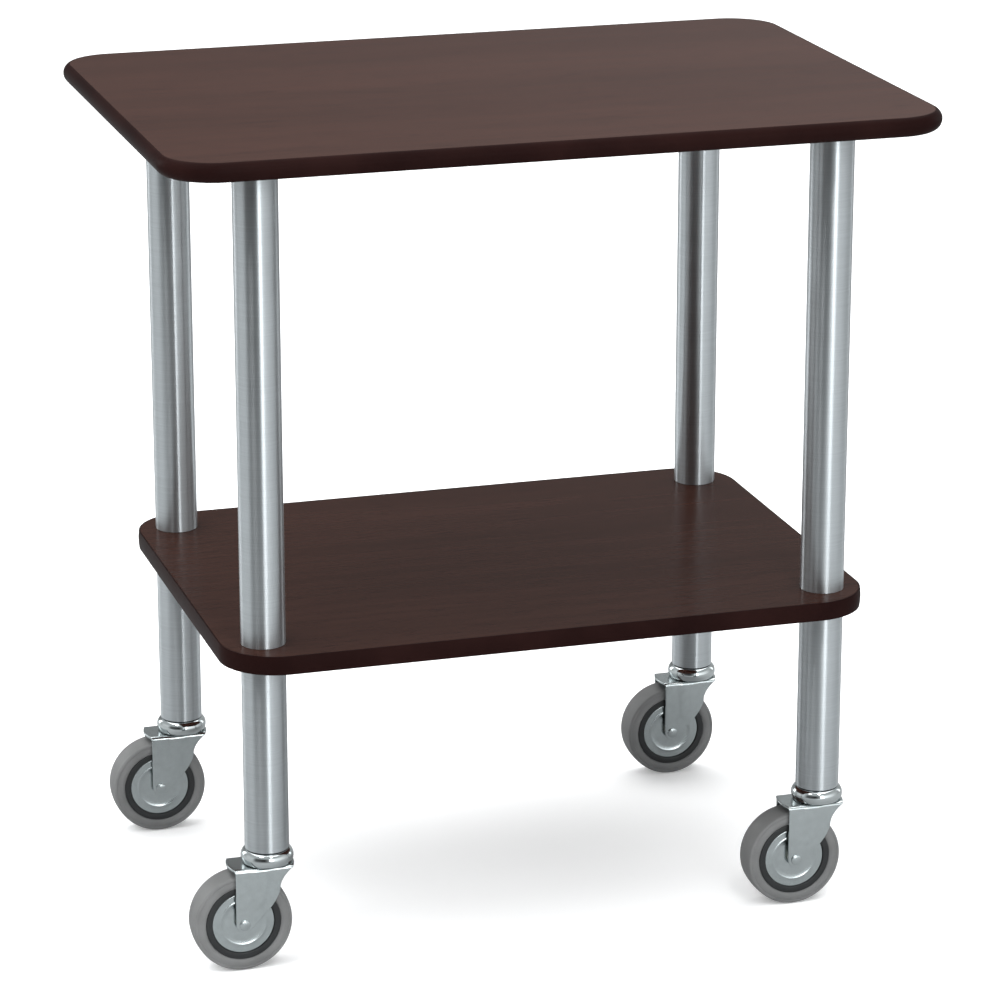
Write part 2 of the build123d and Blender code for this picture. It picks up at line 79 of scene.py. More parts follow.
def grid_piece(name, sheets, sharp_angle=40.0):
    """One mesh from several grids of points. Each grid is (points, rows closed, columns closed),
    and every cell of a grid becomes one four-sided face."""
    points, faces, start = [], [], 0
    for grid, rows_closed, columns_closed in sheets:
        rows, columns = grid.shape[:2]
        index = start + np.arange(rows * columns).reshape(rows, columns)
        if rows_closed:
            index = np.concatenate([index, index[:1]], axis=0)
        if columns_closed:
            index = np.concatenate([index, index[:, :1]], axis=1)
        quads = np.stack([index[:-1, :-1], index[1:, :-1], index[1:, 1:], index[:-1, 1:]], axis=-1)
        points.append(grid.reshape(-1, 3))
        faces.append(quads.reshape(-1, 4))
        start += rows * columns
    points = np.concatenate(points)
    faces = np.concatenate(faces)
    mesh = bpy.data.meshes.new(name)
    mesh.vertices.add(len(points))
    mesh.vertices.foreach_set("co", points.astype(np.float32).ravel())
    mesh.loops.add(faces.size)
    mesh.loops.foreach_set("vertex_index", faces.astype(np.int32).ravel())
    mesh.polygons.add(len(faces))
    mesh.polygons.foreach_set("loop_start", np.arange(0, faces.size, 4, dtype=np.int32))
    mesh.update(calc_edges=True)
    work = bmesh.new()
    work.from_mesh(mesh)
    bmesh.ops.remove_doubles(work, verts=work.verts, dist=1e-6)
    bmesh.ops.dissolve_degenerate(work, edges=work.edges, dist=1e-7)
    bmesh.ops.recalc_face_normals(work, faces=work.faces)
    work.to_mesh(mesh)
    work.free()
    mesh.polygons.foreach_set("use_smooth", np.ones(len(mesh.polygons), dtype=bool))
    mesh.set_sharp_from_angle(angle=math.radians(sharp_angle))
    mesh.update()
    piece = bpy.data.objects.new(name, mesh)
    bpy.context.scene.collection.objects.link(piece)
    return piece


floor_half = 20.0
floor_white = (0.93, 0.93, 0.935)
floor = grid_piece("floor", [(sheet_grid(floor_half, floor_half, 3), False, False)])
floor_finish, nodes, links, shader = new_finish("pale_floor", floor_white, 0.9)
floor.data.materials.append(floor_finish)

# The greys that the chrome mirrors, by bearing: chosen against one photograph, so that the
# tubes look right from the front. They are no measured studio.
bearing_ramp = bpy.data.node_groups.new("grey_by_bearing", "ShaderNodeTree")
bearing_ramp.interface.new_socket("Vector", in_out="INPUT", socket_type="NodeSocketVector")
for name in ("Walls", "Ground"):
    bearing_ramp.interface.new_socket(name, in_out="OUTPUT", socket_type="NodeSocketColor")
inside, ties = bearing_ramp.nodes, bearing_ramp.links
entry = inside.new("NodeGroupInput")
leave = inside.new("NodeGroupOutput")
split = inside.new("ShaderNodeSeparateXYZ")
ties.new(entry.outputs["Vector"], split.inputs["Vector"])
forward = inside.new("ShaderNodeMath")
forward.operation = "MULTIPLY"
forward.inputs[1].default_value = -1.0
ties.new(split.outputs["Y"], forward.inputs[0])
bearing = inside.new("ShaderNodeMath")
bearing.operation = "ARCTAN2"
ties.new(split.outputs["X"], bearing.inputs[0])
ties.new(forward.outputs["Value"], bearing.inputs[1])
turn_share = inside.new("ShaderNodeMapRange")
turn_share.inputs["From Min"].default_value = -math.pi
turn_share.inputs["From Max"].default_value = math.pi
ties.new(bearing.outputs["Value"], turn_share.inputs["Value"])
tones = {
    # name: (bearing from straight in front of the table, grey) pairs
    "Walls": (
        (-180, 0.04), (-154, 0.05), (-147, 0.50), (-140, 0.50), (-132, 0.07), (-108, 0.12),
        (-80, 0.12), (-64, 0.02), (-24, 0.006), (-6, 0.05), (2, 0.80), (10, 0.80), (17, 0.24),
        (52, 0.17), (78, 0.10), (101, 0.07), (107, 0.30), (113, 0.30), (119, 0.06),
        (140, 0.075), (157, 0.066), (168, 0.038), (180, 0.035),
    ),
    "Ground": (
        (-180, 0.34), (-100, 0.40), (-74, 0.36), (-60, 0.10), (-20, 0.07), (-4, 0.30), (4, 0.62),
        (12, 0.58), (24, 0.42), (70, 0.34), (120, 0.26), (150, 0.20), (180, 0.34),
    ),
}
grey_tint = (0.96, 0.99, 1.0)
for name, stops in tones.items():
    ramp = inside.new("ShaderNodeValToRGB")
    while len(ramp.color_ramp.elements) > 1:
        ramp.color_ramp.elements.remove(ramp.color_ramp.elements[0])
    for k, (angle, grey) in enumerate(stops):
        share = (angle + 180) / 360
        stop = ramp.color_ramp.elements[0] if k == 0 else ramp.color_ramp.elements.new(share)
        stop.position = share
        stop.color = (*(grey * part for part in grey_tint), 1.0)
    ties.new(turn_share.outputs["Result"], ramp.inputs["Fac"])
    ties.new(ramp.outputs["Color"], leave.inputs[name])

# What the pieces mirror of the floor is an even grey near the table and the greys by bearing
# further out. To the camera it is plain and glows a little.
where = nodes.new("ShaderNodeTexCoord")
around = nodes.new("ShaderNodeGroup")
around.node_tree = bearing_ramp
links.new(where.outputs["Object"], around.inputs["Vector"])
distance = nodes.new("ShaderNodeVectorMath")
distance.operation = "LENGTH"
links.new(where.outputs["Object"], distance.inputs[0])
far = nodes.new("ShaderNodeMapRange")
far.inputs["From Min"].default_value = 0.7
far.inputs["From Max"].default_value = 1.2
links.new(distance.outputs["Value"], far.inputs["Value"])
ground = nodes.new("ShaderNodeMix")
ground.data_type = "RGBA"
ground.inputs["A"].default_value = (0.33, 0.34, 0.345, 1.0)
links.new(far.outputs["Result"], ground.inputs["Factor"])
links.new(around.outputs["Ground"], ground.inputs["B"])
paths = nodes.new("ShaderNodeLightPath")
floor_tone = nodes.new("ShaderNodeMix")
floor_tone.data_type = "RGBA"
floor_tone.inputs["A"].default_value = (*floor_white, 1.0)
links.new(paths.outputs["Is Glossy Ray"], floor_tone.inputs["Factor"])
links.new(ground.outputs["Result"], floor_tone.inputs["B"])
links.new(floor_tone.outputs["Result"], shader.inputs["Base Color"])
lift = nodes.new("ShaderNodeMath")
lift.operation = "MULTIPLY"
lift.inputs[1].default_value = 0.20
links.new(paths.outputs["Is Camera Ray"], lift.inputs[0])
links.new(lift.outputs["Value"], shader.inputs["Emission Strength"])
shader.inputs["Emission Color"].default_value = (1.0, 1.0, 1.0, 1.0)

# The room round the table: the walls' greys up to a height and a dim ceiling over them for what
# is mirrored, daylight from the left for the rest, and a plain background for the camera.
world = bpy.data.worlds.new("studio")
world.use_nodes = True
inside, ties = world.node_tree.nodes, world.node_tree.links
where = inside.new("ShaderNodeTexCoord")
around = inside.new("ShaderNodeGroup")
around.node_tree = bearing_ramp
ties.new(where.outputs["Generated"], around.inputs["Vector"])
split = inside.new("ShaderNodeSeparateXYZ")
ties.new(where.outputs["Generated"], split.inputs["Vector"])
rise = inside.new("ShaderNodeMapRange")
rise.interpolation_type = "SMOOTHSTEP"
rise.inputs["From Min"].default_value = 0.35
rise.inputs["From Max"].default_value = 0.62
ties.new(split.outputs["Z"], rise.inputs["Value"])
paths = inside.new("ShaderNodeLightPath")
sky = inside.new("ShaderNodeMix")
sky.data_type = "RGBA"
lean = inside.new("ShaderNodeMapRange")
lean.inputs["From Min"].default_value = -1.0
lean.inputs["To Min"].default_value = 2.0
lean.inputs["To Max"].default_value = 0.0
ties.new(split.outputs["X"], lean.inputs["Value"])
daylight = inside.new("ShaderNodeVectorMath")
daylight.operation = "SCALE"
daylight.inputs[0].default_value = (0.206, 0.21, 0.21)
ties.new(lean.outputs["Result"], daylight.inputs["Scale"])
ties.new(daylight.outputs["Vector"], sky.inputs["A"])
sky.inputs["B"].default_value = (0.080, 0.084, 0.085, 1.0)
ties.new(paths.outputs["Is Glossy Ray"], sky.inputs["Factor"])
room = inside.new("ShaderNodeMix")
room.data_type = "RGBA"
ties.new(sky.outputs["Result"], room.inputs["B"])
ties.new(rise.outputs["Result"], room.inputs["Factor"])
ties.new(around.outputs["Walls"], room.inputs["A"])
seen = inside.new("ShaderNodeMix")
seen.data_type = "RGBA"
seen.inputs["B"].default_value = (0.160, 0.160, 0.160, 1.0)
ties.new(room.outputs["Result"], seen.inputs["A"])
ties.new(paths.outputs["Is Camera Ray"], seen.inputs["Factor"])
ties.new(seen.outputs["Result"], inside["Background"].inputs["Color"])
inside["Background"].inputs["Strength"].default_value = 6.5
bpy.context.scene.world = world

softboxes = {
    # name: (place, aimed at, width, height, power)
    "overhead": ((0.2, 0.8, 3.8), (0.0, 0.3, 0.3), 5.0, 4.4, 150.0),
    "left_window": ((-1.6, -1.3, 2.9), (0.0, 0.0, 0.3), 0.7, 0.7, 9.0),
    "right_window": ((0.15, -2.1, 2.9), (0.0, 0.0, 0.3), 0.4, 0.7, 14.0),
}
for name, (place, target, width, height, power) in softboxes.items():
    lamp = bpy.data.lights.new(name, "AREA")
    lamp.shape = "RECTANGLE"
    lamp.size = width
    lamp.size_y = height
    lamp.energy = power
    box = bpy.data.objects.new(name, lamp)
    bpy.context.scene.collection.objects.link(box)
    box.location = place
    aim = np.array(target) - np.array(place)
    flat = math.hypot(aim[0], aim[1])
    box.rotation_euler = (math.atan2(flat, -aim[2]), 0.0, math.atan2(-aim[0], aim[1]))

# The two boards: particle board faced on both sides with a dark brown wood-grain laminate.
# The grain runs along the length. Each board is sawn to shape, its corners rounded,
# and grooved round its edge for the edging.
grain = bpy.data.node_groups.new("laminate_grain", "ShaderNodeTree")
grain_inputs = {
    "Vector": "NodeSocketVector",
    "Streak Scale": "NodeSocketFloat",
    "Cloud Scale": "NodeSocketFloat",
}
for name, kind in grain_inputs.items():
    grain.interface.new_socket(name, in_out="INPUT", socket_type=kind)
for name in ("Streaks", "Clouds", "Pores"):
    grain.interface.new_socket(name, in_out="OUTPUT", socket_type="NodeSocketFloat")
inside, ties = grain.nodes, grain.links
entry = inside.new("NodeGroupInput")
leave = inside.new("NodeGroupOutput")
drawn_out = inside.new("ShaderNodeMapping")
drawn_out.inputs["Scale"].default_value = (0.045, 1.0, 1.0)
ties.new(entry.outputs["Vector"], drawn_out.inputs["Vector"])
bend = inside.new("ShaderNodeTexNoise")
bend.inputs["Scale"].default_value = 3.0
bend.inputs["Detail"].default_value = 2.0
ties.new(entry.outputs["Vector"], bend.inputs["Vector"])
shift = inside.new("ShaderNodeVectorMath")
shift.operation = "MULTIPLY_ADD"
shift.inputs[1].default_value = (0.0, 0.035, 0.0)
ties.new(bend.outputs["Color"], shift.inputs[0])
ties.new(drawn_out.outputs["Vector"], shift.inputs[2])
streaks = inside.new("ShaderNodeTexNoise")
streaks.inputs["Detail"].default_value = 8.0
streaks.inputs["Roughness"].default_value = 0.62
ties.new(shift.outputs["Vector"], streaks.inputs["Vector"])
ties.new(entry.outputs["Streak Scale"], streaks.inputs["Scale"])
clouds = inside.new("ShaderNodeTexNoise")
clouds.inputs["Detail"].default_value = 3.0
ties.new(shift.outputs["Vector"], clouds.inputs["Vector"])
ties.new(entry.outputs["Cloud Scale"], clouds.inputs["Scale"])
pore_noise = inside.new("ShaderNodeTexNoise")
pore_noise.inputs["Scale"].default_value = 520.0
pore_noise.inputs["Detail"].default_value = 2.0
ties.new(drawn_out.outputs["Vector"], pore_noise.inputs["Vector"])
pore_cut = inside.new("ShaderNodeMapRange")
pore_cut.inputs["From Min"].default_value = 0.60
pore_cut.inputs["From Max"].default_value = 0.72
ties.new(pore_noise.outputs["Fac"], pore_cut.inputs["Value"])
ties.new(streaks.outputs["Fac"], leave.inputs["Streaks"])
ties.new(clouds.outputs["Fac"], leave.inputs["Clouds"])
ties.new(pore_cut.outputs["Result"], leave.inputs["Pores"])

laminate, nodes, links, shader = new_finish("laminate", (0.05, 0.03, 0.025), 0.24)
shader.inputs["Specular IOR Level"].default_value = 0.035
where = nodes.new("ShaderNodeTexCoord")
pattern = nodes.new("ShaderNodeGroup")
pattern.node_tree = grain
pattern.inputs["Streak Scale"].default_value = 95.0
pattern.inputs["Cloud Scale"].default_value = 9.0
links.new(where.outputs["Object"], pattern.inputs["Vector"])
tone = nodes.new("ShaderNodeValToRGB")
tone.color_ramp.elements[0].position = 0.30
tone.color_ramp.elements[0].color = (0.0340, 0.0150, 0.0110, 1.0)
tone.color_ramp.elements[1].position = 0.72
tone.color_ramp.elements[1].color = (0.0455, 0.0200, 0.0150, 1.0)
links.new(pattern.outputs["Streaks"], tone.inputs["Fac"])
cloud_tone = nodes.new("ShaderNodeValToRGB")
cloud_tone.color_ramp.elements[0].position = 0.30
cloud_tone.color_ramp.elements[0].color = (0.80, 0.78, 0.78, 1.0)
cloud_tone.color_ramp.elements[1].position = 0.70
cloud_tone.color_ramp.elements[1].color = (1.12, 1.10, 1.10, 1.0)
links.new(pattern.outputs["Clouds"], cloud_tone.inputs["Fac"])
blend = nodes.new("ShaderNodeMix")
blend.data_type = "RGBA"
blend.blend_type = "MULTIPLY"
blend.inputs["Factor"].default_value = 1.0
links.new(tone.outputs["Color"], blend.inputs["A"])
links.new(cloud_tone.outputs["Color"], blend.inputs["B"])
pored = nodes.new("ShaderNodeMix")
pored.data_type = "RGBA"
pored.inputs["B"].default_value = (0.020, 0.008, 0.0065, 1.0)
links.new(pattern.outputs["Pores"], pored.inputs["Factor"])
links.new(blend.outputs["Result"], pored.inputs["A"])
links.new(pored.outputs["Result"], shader.inputs["Base Color"])
sheen = nodes.new("ShaderNodeMapRange")
sheen.inputs["To Min"].default_value = 0.20
sheen.inputs["To Max"].default_value = 0.28
links.new(pattern.outputs["Streaks"], sheen.inputs["Value"])
links.new(sheen.outputs["Result"], shader.inputs["Roughness"])
relief = nodes.new("ShaderNodeBump")
relief.inputs["Strength"].default_value = 0.12
relief.inputs["Distance"].default_value = 0.0002
links.new(pattern.outputs["Streaks"], relief.inputs["Height"])
links.new(relief.outputs["Normal"], shader.inputs["Normal"])
for name in ("top_board", "shelf_board"):
    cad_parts[name].data.materials.clear()
    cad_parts[name].data.materials.append(laminate)

# The edgings: one strip of dark red-brown plastic run round each board and knocked into its groove
# by a barbed tongue. The top's strip has a half-round face, the shelf's is nearly flat
# with just its corners eased. The joint of each strip's two ends is at the middle of the back.
mm = 0.001
tongue_reach = 9.0 * mm
tongue_half = 1.1 * mm
tongue_taper = 0.7
strip_ease = 0.35 * mm
ease_shares = (0.12, 0.3)
corner_steps, side_steps, face_steps = 22, 12, 25


def board_outline(length, depth, corner, corner_steps, side_steps):
    """A rectangle with round corners, run once round: straights between quarter arcs.
    Returns the points and the outward directions."""
    half_x, half_y = length / 2 - corner, depth / 2 - corner
    turn = np.linspace(0.0, math.pi / 2, corner_steps)
    centres = ((half_x, -half_y), (half_x, half_y), (-half_x, half_y), (-half_x, -half_y))
    places, outward = [], []
    for centre, start in zip(centres, (-90, 0, 90, 180)):
        angle = math.radians(start) + turn
        aim = np.stack([np.cos(angle), np.sin(angle)], axis=-1)
        places.append(np.array(centre) + corner * aim)
        outward.append(aim)
    places = np.concatenate(places)
    outward = np.concatenate(outward)
    share = np.linspace(0.0, 1.0, side_steps, endpoint=False)[1:]
    ends = [corner_steps * k - 1 for k in range(1, 5)]
    places_out, outward_out = [], []
    for k, end in enumerate(ends):
        after = (end + 1) % len(places)
        arc = slice(corner_steps * k, end + 1)
        straight = places[end] + share[:, None] * (places[after] - places[end])
        places_out += [places[arc], straight]
        outward_out += [outward[arc], np.repeat(outward[end:end + 1], len(share), axis=0)]
    return np.concatenate(places_out), np.concatenate(outward_out)


def eased(corners, radii, steps=5):
    """A closed outline with its corners rounded: each corner becomes a quadratic curve between
    two points cut back from it by its radius, or by less where its sides are short."""
    corners = np.asarray(corners, dtype=float)
    radii = np.broadcast_to(np.asarray(radii, dtype=float), (len(corners),))
    before = np.roll(corners, 1, axis=0) - corners
    after = np.roll(corners, -1, axis=0) - corners
    length_before = np.linalg.norm(before, axis=1)
    length_after = np.linalg.norm(after, axis=1)
    cut = np.minimum(radii, 0.48 * np.minimum(length_before, length_after))
    start = corners + before * (cut / length_before)[:, None]
    end = corners + after * (cut / length_after)[:, None]
    t = np.linspace(0.0, 1.0, steps)[None, :, None]
    curve = (1 - t) ** 2 * start[:, None] + 2 * t * (1 - t) * corners[:, None] + t**2 * end[:, None]
    return curve.reshape(-1, 2)


def strip_round(name, profile, outline, outward, middle):
    """A profile carried round an outline: each point lies its own way out along the outline's
    outward direction and its own height from the middle."""
    flat = outline[:, None, :] + outward[:, None, :] * profile[None, :, 0:1]
    height = np.broadcast_to(middle + profile[None, :, 1:2], (*flat.shape[:2], 1))
    return grid_piece(name, [(np.concatenate([flat, height], axis=-1), True, True)])


edging_finish, nodes, links, shader = new_finish("edging_plastic", (0.0165, 0.0058, 0.0052), 0.34)
shader.inputs["Specular IOR Level"].default_value = 0.012
where = nodes.new("ShaderNodeTexCoord")
skin = nodes.new("ShaderNodeTexNoise")
skin.inputs["Scale"].default_value = 900.0
skin.inputs["Detail"].default_value = 3.0
links.new(where.outputs["Object"], skin.inputs["Vector"])
patches = nodes.new("ShaderNodeTexNoise")
patches.inputs["Scale"].default_value = 14.0
patches.inputs["Detail"].default_value = 4.0
links.new(where.outputs["Object"], patches.inputs["Vector"])
tone = nodes.new("ShaderNodeValToRGB")
tone.color_ramp.elements[0].position = 0.35
tone.color_ramp.elements[0].color = (0.0110, 0.0043, 0.0040, 1.0)
tone.color_ramp.elements[1].position = 0.70
tone.color_ramp.elements[1].color = (0.0168, 0.0066, 0.0059, 1.0)
links.new(patches.outputs["Fac"], tone.inputs["Fac"])
links.new(tone.outputs["Color"], shader.inputs["Base Color"])
sheen = nodes.new("ShaderNodeMapRange")
sheen.inputs["To Min"].default_value = 0.29
sheen.inputs["To Max"].default_value = 0.40
links.new(patches.outputs["Fac"], sheen.inputs["Value"])
links.new(sheen.outputs["Result"], shader.inputs["Roughness"])
relief = nodes.new("ShaderNodeBump")
relief.inputs["Strength"].default_value = 0.10
relief.inputs["Distance"].default_value = 0.0001
links.new(skin.outputs["Fac"], relief.inputs["Height"])
links.new(relief.outputs["Normal"], shader.inputs["Normal"])

edging_sizes = {
    # name: (corner radius over the strip, lip, crown)
    "top_edging": (57.0 * mm, 1.0 * mm, 6.0 * mm),
    "shelf_edging": (60.0 * mm, 1.4 * mm, 0.8 * mm),
}
for name, (corner, lip, crown) in edging_sizes.items():
    low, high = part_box(name)
    length, depth = high[0] - low[0], high[1] - low[1]
    half = (high[2] - low[2]) / 2
    strip = lip + crown
    board = (length - 2 * strip, depth - 2 * strip)
    outline, outward = board_outline(*board, corner - strip, corner_steps, side_steps)
    spread = np.linspace(1.0, -1.0, face_steps)
    bulge = half * half / (2 * crown) + crown / 2
    reach = lip + crown - bulge + np.sqrt(bulge**2 - (spread * half) ** 2)
    face = np.stack([reach, spread * half], axis=-1)
    fall = strip_ease * ease_shares[0]
    face[0] = (lip, half - fall)
    face[-1] = (lip, -half + fall)
    cut = strip_ease * ease_shares[1]
    top_ease = np.array([(0.0, half - strip_ease), (cut, half - cut), (strip_ease, half)])
    bottom_ease = top_ease[::-1] * (1.0, -1.0)
    tip_half = tongue_half * tongue_taper
    tongue_tip = [(-tongue_reach, -tip_half), (-tongue_reach, tip_half)]
    tongue = [(0.0, -tongue_half), *tongue_tip, (0.0, tongue_half)]
    profile = np.concatenate([top_ease, face, bottom_ease, tongue])
    piece = strip_round(name + "_strip", profile, outline, outward, (low[2] + high[2]) / 2)
    piece.data.materials.append(edging_finish)
    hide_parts(name)
    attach(piece, "table")

# The leg tubes: drawn steel tube, cut square, its ends deburred, polished along its length and
# satin chromed. One length stands between the top and the shelf and one below the shelf,
# at each corner; the boards are clamped between their ends, so no screw shows.
tube_wall = 1.5 * mm
tube_end_ease = 0.5 * mm


def turned(profile, centre, steps, axis="z"):
    """A closed outline of (radius, way along the axis) points turned once round an axis through
    the centre: the radius goes to the cosine and sine of the turn, the way along stays."""
    angle = np.linspace(0.0, 2 * math.pi, steps, endpoint=False)[:, None]
    radius = np.maximum(profile[None, :, 0], 0.0)
    across = radius * np.cos(angle)
    along = np.broadcast_to(profile[None, :, 1], across.shape)
    aside = radius * np.sin(angle)
    order = (across, aside, along) if axis == "z" else (across, along, aside)
    return np.stack(order, axis=-1) + np.array(centre)


marks = bpy.data.node_groups.new("polish_marks", "ShaderNodeTree")
marks_inputs = {"Vector": "NodeSocketVector", "Scale": "NodeSocketFloat", "Draw": "NodeSocketVector"}
for name, kind in marks_inputs.items():
    marks.interface.new_socket(name, in_out="INPUT", socket_type=kind)
for name in ("Lines", "Smears"):
    marks.interface.new_socket(name, in_out="OUTPUT", socket_type="NodeSocketFloat")
inside, ties = marks.nodes, marks.links
entry = inside.new("NodeGroupInput")
leave = inside.new("NodeGroupOutput")
stretch = inside.new("ShaderNodeVectorMath")
stretch.operation = "MULTIPLY"
ties.new(entry.outputs["Vector"], stretch.inputs[0])
ties.new(entry.outputs["Draw"], stretch.inputs[1])
lines = inside.new("ShaderNodeTexNoise")
lines.inputs["Detail"].default_value = 4.0
ties.new(stretch.outputs["Vector"], lines.inputs["Vector"])
ties.new(entry.outputs["Scale"], lines.inputs["Scale"])
smears = inside.new("ShaderNodeTexNoise")
smears.inputs["Scale"].default_value = 22.0
smears.inputs["Detail"].default_value = 5.0
ties.new(entry.outputs["Vector"], smears.inputs["Vector"])
ties.new(lines.outputs["Fac"], leave.inputs["Lines"])
ties.new(smears.outputs["Fac"], leave.inputs["Smears"])


def metal_finish(name, colour, smooth, rough, draw, scale, depth, ringed=0.0):
    """Plated metal: its roughness wanders between two values with the smears, its colour a little
    with the drawn-out lines, and the same lines stand up as a very fine relief. A ringed finish
    was ground round an upright axis, which smears what it mirrors along that axis."""
    finish, nodes, links, shader = new_finish(name, colour, (smooth + rough) / 2, 1.0)
    if ringed:
        around = nodes.new("ShaderNodeTangent")
        around.direction_type = "RADIAL"
        around.axis = "Z"
        links.new(around.outputs["Tangent"], shader.inputs["Tangent"])
        shader.inputs["Anisotropic"].default_value = ringed
        shader.inputs["Anisotropic Rotation"].default_value = 0.25
    where = nodes.new("ShaderNodeTexCoord")
    pattern = nodes.new("ShaderNodeGroup")
    pattern.node_tree = marks
    pattern.inputs["Scale"].default_value = scale
    pattern.inputs["Draw"].default_value = draw
    links.new(where.outputs["Object"], pattern.inputs["Vector"])
    tone = nodes.new("ShaderNodeValToRGB")
    tone.color_ramp.elements[0].position = 0.25
    tone.color_ramp.elements[0].color = (*(c * 0.93 for c in colour), 1.0)
    tone.color_ramp.elements[1].position = 0.75
    tone.color_ramp.elements[1].color = (*(c * 1.05 for c in colour), 1.0)
    links.new(pattern.outputs["Lines"], tone.inputs["Fac"])
    links.new(tone.outputs["Color"], shader.inputs["Base Color"])
    gloss = nodes.new("ShaderNodeMapRange")
    gloss.inputs["From Min"].default_value = 0.30
    gloss.inputs["From Max"].default_value = 0.70
    gloss.inputs["To Min"].default_value = smooth
    gloss.inputs["To Max"].default_value = rough
    links.new(pattern.outputs["Smears"], gloss.inputs["Value"])
    links.new(gloss.outputs["Result"], shader.inputs["Roughness"])
    relief = nodes.new("ShaderNodeBump")
    relief.inputs["Strength"].default_value = depth
    relief.inputs["Distance"].default_value = 0.0001
    links.new(pattern.outputs["Lines"], relief.inputs["Height"])
    links.new(relief.outputs["Normal"], shader.inputs["Normal"])
    return finish


tube_chrome = metal_finish(
    "tube_chrome",
    (0.60, 0.63, 0.65),
    smooth=0.30,
    rough=0.35,
    draw=(0.02, 0.02, 1.0),
    scale=900.0,
    depth=0.004,
    ringed=1.0,
)
corners = ("front_left", "front_right", "rear_left", "rear_right")
for corner in corners:
    for length_name in ("upper_tube", "lower_tube"):
        low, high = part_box(f"{length_name}_{corner}")
        radius = (high[0] - low[0]) / 2
        centre = ((low[0] + high[0]) / 2, (low[1] + high[1]) / 2, 0.0)
        outline = [
            (radius - tube_wall, low[2]),
            (radius, low[2]),
            (radius, high[2]),
            (radius - tube_wall, high[2]),
        ]
        profile = eased(outline, tube_end_ease, 6)
        piece = grid_piece(f"{length_name}_{corner}_wall", [(turned(profile, centre, 96), True, True)])
        piece.data.materials.append(tube_chrome)
        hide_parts(f"{length_name}_{corner}")
        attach(piece, "table")

# Fixings out of sight: turned steel plugs pressed into the tube ends, studs that tie the tubes
# through the shelf and into brass insert nuts in the top, moulded sockets that hold the
# caster stems, and the spring rings on the stems. A thin black flange shows under each leg.
turned_steel = metal_finish(
    "turned_steel",
    (0.56, 0.56, 0.57),
    smooth=0.24,
    rough=0.36,
    draw=(1.0, 1.0, 30.0),
    scale=90.0,
    depth=0.08,
)
insert_brass = metal_finish(
    "insert_brass",
    (0.60, 0.43, 0.17),
    smooth=0.28,
    rough=0.40,
    draw=(1.0, 1.0, 30.0),
    scale=90.0,
    depth=0.08,
)


def moulded_finish(name, colour, roughness, scale, depth):
    """Moulded plastic: an even colour with slight clouding, and a fine pebbled relief."""
    finish, nodes, links, shader = new_finish(name, colour, roughness)
    where = nodes.new("ShaderNodeTexCoord")
    clouding = nodes.new("ShaderNodeTexNoise")
    clouding.inputs["Scale"].default_value = 30.0
    clouding.inputs["Detail"].default_value = 4.0
    links.new(where.outputs["Object"], clouding.inputs["Vector"])
    tone = nodes.new("ShaderNodeValToRGB")
    tone.color_ramp.elements[0].position = 0.30
    tone.color_ramp.elements[0].color = (*(c * 0.86 for c in colour), 1.0)
    tone.color_ramp.elements[1].position = 0.70
    tone.color_ramp.elements[1].color = (*(c * 1.14 for c in colour), 1.0)
    links.new(clouding.outputs["Fac"], tone.inputs["Fac"])
    links.new(tone.outputs["Color"], shader.inputs["Base Color"])
    gloss = nodes.new("ShaderNodeMapRange")
    gloss.inputs["To Min"].default_value = roughness - 0.06
    gloss.inputs["To Max"].default_value = roughness + 0.06
    links.new(clouding.outputs["Fac"], gloss.inputs["Value"])
    links.new(gloss.outputs["Result"], shader.inputs["Roughness"])
    pebbles = nodes.new("ShaderNodeTexNoise")
    pebbles.inputs["Scale"].default_value = scale
    pebbles.inputs["Detail"].default_value = 3.0
    links.new(where.outputs["Object"], pebbles.inputs["Vector"])
    relief = nodes.new("ShaderNodeBump")
    relief.inputs["Strength"].default_value = depth
    relief.inputs["Distance"].default_value = 0.0002
    links.new(pebbles.outputs["Fac"], relief.inputs["Height"])
    links.new(relief.outputs["Normal"], shader.inputs["Normal"])
    return finish


black_nylon, white_acetal = (0.012, 0.012, 0.013), (0.60, 0.58, 0.50)
socket_plastic = moulded_finish("socket_plastic", black_nylon, roughness=0.42, scale=900.0, depth=0.15)
bushing_plastic = moulded_finish("bushing_plastic", white_acetal, roughness=0.38, scale=900.0, depth=0.10)
inner_finishes = {
    "top_tube_plugs": turned_steel,
    "shelf_tube_plugs": turned_steel,
    "top_studs": turned_steel,
    "shelf_studs": turned_steel,
    "stem_grip_rings": turned_steel,
    "insert_nuts": insert_brass,
    "stem_sockets": socket_plastic,
}
for corner in corners:
    inner_finishes[f"caster_stem_{corner}"] = turned_steel
    inner_finishes[f"bearing_balls_{corner}"] = turned_steel
    inner_finishes[f"retaining_washer_{corner}"] = turned_steel
    inner_finishes[f"bushing_{corner}"] = bushing_plastic
for name, finish in inner_finishes.items():
    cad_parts[name].data.materials.clear()
    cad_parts[name].data.materials.append(finish)

# The raceway caps: pressed steel domes, bright chromed, between each leg and its fork.
# The skirt comes down close over the fork's plate and covers the ring of balls;
# its lip is turned in a little, so a bright line runs round it.
cap_chrome = metal_finish(
    "cap_chrome",
    (0.62, 0.655, 0.66),
    smooth=0.05,
    rough=0.10,
    draw=(1.0, 1.0, 6.0),
    scale=60.0,
    depth=0.02,
)
cap_top_radius = 20.5 * mm
cap_shoulder = 6.0 * mm
cap_radius = 26.5 * mm
bulge_drop = 8.0 * mm
skirt_tuck = 1.5 * mm
skirt_inner = 23.3 * mm
skirt_depth = 3.4 * mm
lip_round = 0.4 * mm
lip_points = np.array([(24.7, 0.05), (24.3, 0.0), (23.7, 0.0), (23.3, 0.4)]) * mm
ball_pitch = 14.8 * mm
ball_room = 3.3 * mm
ball_rise = 2.4 * mm
stem_hole = 5.6 * mm
